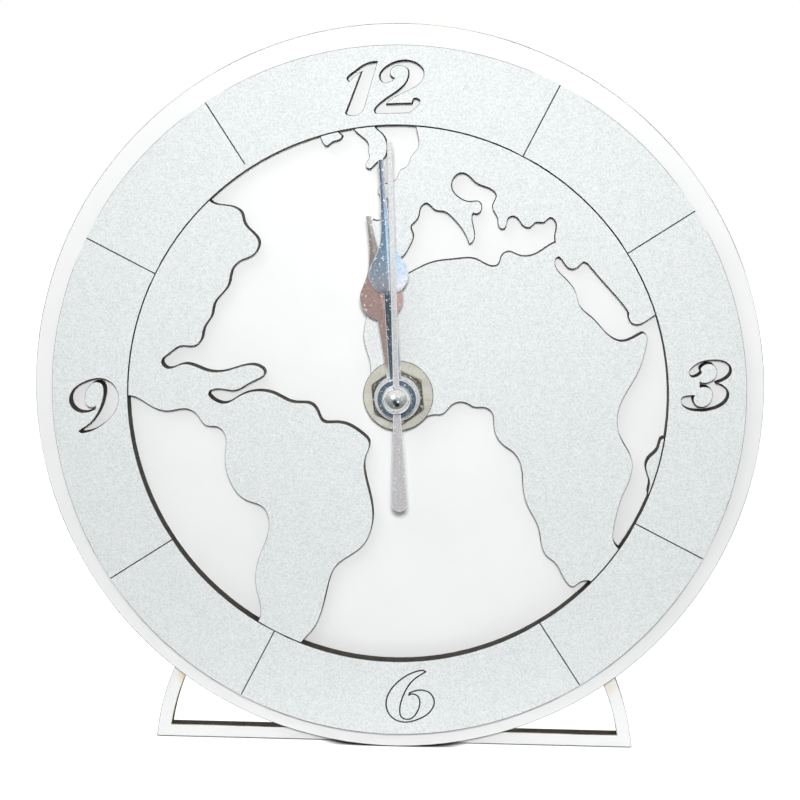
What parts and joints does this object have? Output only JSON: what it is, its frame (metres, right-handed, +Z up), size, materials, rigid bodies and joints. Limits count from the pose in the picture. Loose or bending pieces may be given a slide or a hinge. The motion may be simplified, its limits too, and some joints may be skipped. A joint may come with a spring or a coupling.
{
  "type": "desk clock",
  "caption": "Round desk clock with a layered world map dial, cut-out numerals, ridged hands, an arched stand with a rear strut, and a quartz movement that is set by a knob at the back.",
  "frame": {"origin": "middle of the stand's base bar on the table, straight below the hand axis", "axes": "+Z up, -Y out of the dial towards the reader, +X to the reader's right"},
  "size_m": [0.15, 0.0701, 0.15],
  "materials": {
    "white_board": "white lacquered board with laser-burnt edges",
    "silver_board": "silver sparkle lacquer on board with burnt edges",
    "bright_metal": "bright nickel plate",
    "hand_metal": "polished sheet metal",
    "brass": "turned",
    "soft_rubber": "matt",
    "case_plastic": "fine moulded texture",
    "gear_plastic": "smooth moulded",
    "arbor_steel": "moulded on a polished steel shaft",
    "magnet": "sintered magnet on a moulded pinion",
    "soft_iron": "stamped sheet",
    "copper_wire": "enamelled wire",
    "board_laminate": "green solder mask",
    "chip_resin": "cast resin",
    "can_metal": "plated sheet",
    "cell_jacket": "plain printed jacket"
  },
  "bodies": {
    "clock": {"backing_disc": "white_board", "stand_arch": "white_board", "rear_strut": "white_board", "hour_ring": "silver_board", "six_inlay": "silver_board", "americas": "silver_board", "old_world": "silver_board", "polar_cape": "silver_board", "northern_island": "silver_board", "southern_island": "silver_board", "hex_nut": "bright_metal", "dial_washer": "bright_metal", "threaded_bush": "brass", "rubber_washer": "soft_rubber", "movement_case": "case_plastic", "movement_cover": "case_plastic", "middle_plate": "gear_plastic", "coil_bobbin": "gear_plastic", "stator": "soft_iron", "coil_core": "soft_iron", "coil_winding": "copper_wire", "circuit_board": "board_laminate", "clock_chip": "chip_resin", "quartz_crystal": "can_metal", "positive_contact": "can_metal", "negative_contact": "can_metal", "battery": "cell_jacket"},
    "seconds": {"seconds_wheel": "arbor_steel", "seconds_hand": "hand_metal", "seconds_cap": "bright_metal"},
    "minute": {"minute_arbor": "brass", "minute_hand": "hand_metal"},
    "hour": {"hour_wheel": "gear_plastic", "hour_hand": "hand_metal"},
    "centre": {"centre_wheel": "gear_plastic"},
    "third": {"third_wheel": "gear_plastic"},
    "intermediate": {"intermediate_wheel": "gear_plastic"},
    "motor": {"rotor": "magnet"},
    "motion": {"motion_wheel": "gear_plastic"},
    "setting": {"setting_knob": "case_plastic"}
  },
  "joints": [
    {"name": "seconds_turn", "type": "hinge", "parent": "clock", "child": "seconds", "pos_m": [0, 0, 0.07538], "axis": [0, 1, 0], "continuous": true},
    {"name": "minute_turn", "type": "hinge", "parent": "clock", "child": "minute", "pos_m": [0, 0, 0.07538], "axis": [0, 1, 0], "continuous": true},
    {"name": "hour_turn", "type": "hinge", "parent": "clock", "child": "hour", "pos_m": [0, 0, 0.07538], "axis": [0, 1, 0], "continuous": true},
    {"name": "centre_turn", "type": "hinge", "parent": "clock", "child": "centre", "pos_m": [0, 0, 0.07538], "axis": [0, 1, 0], "continuous": true},
    {"name": "third_turn", "type": "hinge", "parent": "clock", "child": "third", "pos_m": [0.00612, 0, 0.07538], "axis": [0, 1, 0], "continuous": true},
    {"name": "intermediate_turn", "type": "hinge", "parent": "clock", "child": "intermediate", "pos_m": [-0.00104, 0, 0.08129], "axis": [0, 1, 0], "continuous": true},
    {"name": "rotor_turn", "type": "hinge", "parent": "clock", "child": "motor", "pos_m": [-0.00104, 0, 0.08689], "axis": [0, 1, 0], "continuous": true},
    {"name": "motion_turn", "type": "hinge", "parent": "clock", "child": "motion", "pos_m": [-0.00509, 0, 0.08047], "axis": [0, 1, 0], "continuous": true},
    {"name": "setting_turn", "type": "hinge", "parent": "clock", "child": "setting", "pos_m": [-0.00869, 0, 0.08671], "axis": [0, 1, 0], "continuous": true}
  ],
  "couplings": [
    {"joint": "intermediate_turn", "follows": "seconds_turn", "ratio": -5},
    {"joint": "rotor_turn", "follows": "seconds_turn", "ratio": 30},
    {"joint": "third_turn", "follows": "seconds_turn", "ratio": -0.125},
    {"joint": "centre_turn", "follows": "seconds_turn", "ratio": 0.016667},
    {"joint": "motion_turn", "follows": "minute_turn", "ratio": -0.33333},
    {"joint": "hour_turn", "follows": "minute_turn", "ratio": 0.083333},
    {"joint": "setting_turn", "follows": "minute_turn", "ratio": 1}
  ]
}
